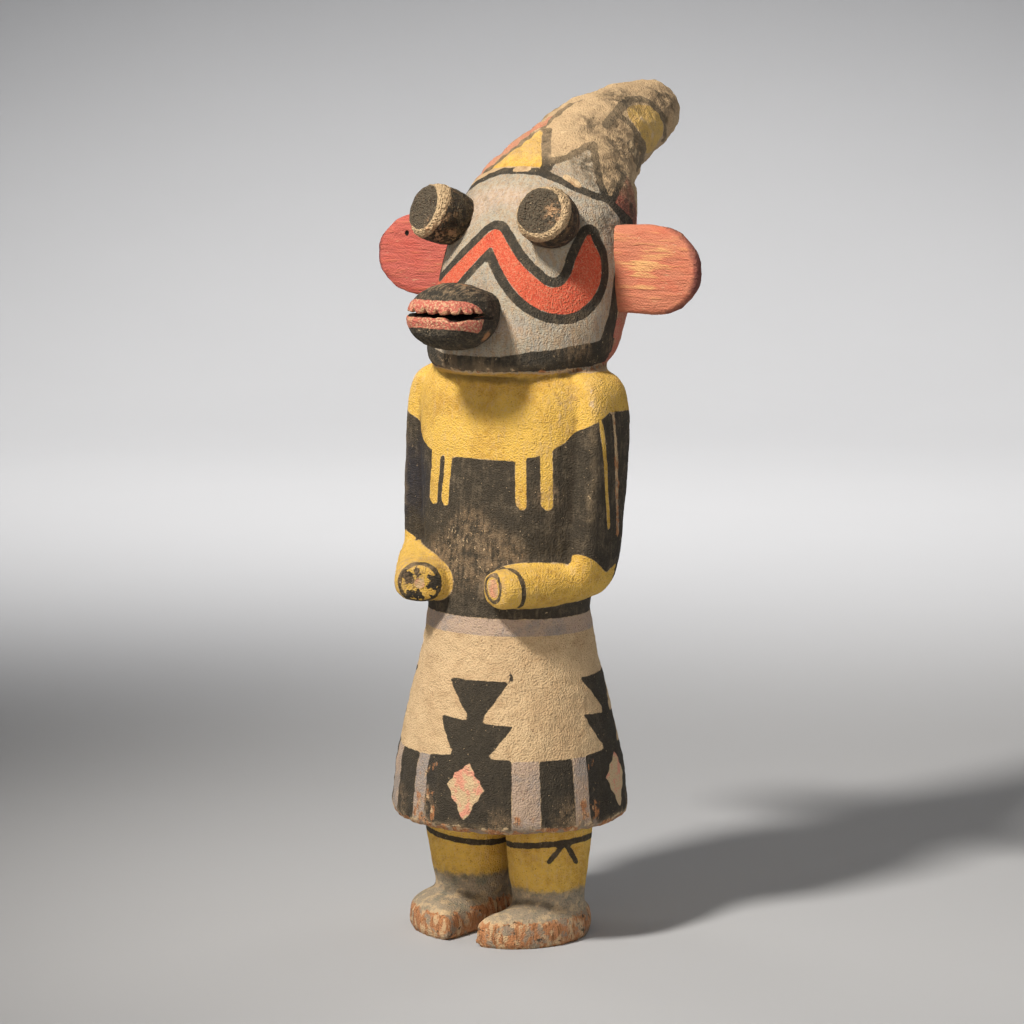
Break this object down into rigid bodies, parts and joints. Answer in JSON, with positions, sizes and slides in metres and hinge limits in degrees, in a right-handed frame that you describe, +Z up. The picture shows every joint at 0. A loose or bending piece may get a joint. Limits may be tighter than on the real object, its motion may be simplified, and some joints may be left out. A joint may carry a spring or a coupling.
{
  "type": "kachina doll",
  "caption": "Carved and painted root-wood doll in a helmet mask with a swept-back hood, peg eyes, paddle ears and a toothed snout, standing on its own feet.",
  "frame": {"origin": "centre of the doll's outline, on the surface that its soles stand on", "axes": "the doll faces -Y, +X is its left hand and +Z is up"},
  "size_m": [0.125, 0.1332, 0.2747],
  "materials": {
    "painted_wood": "matt earth paints over white clay ground, worn to bare root wood at the edges",
    "charcoal_paint": "matt charcoal-black paint over gesso on carved wood",
    "rose_paint": "thin rose-red paint brushed over wood, with pale streaks"
  },
  "bodies": {
    "root": {"figure": "painted_wood", "snout": "charcoal_paint", "eye_left": "charcoal_paint", "eye_right": "charcoal_paint", "ear_left": "rose_paint", "ear_right": "rose_paint"}
  },
  "joints": []
}
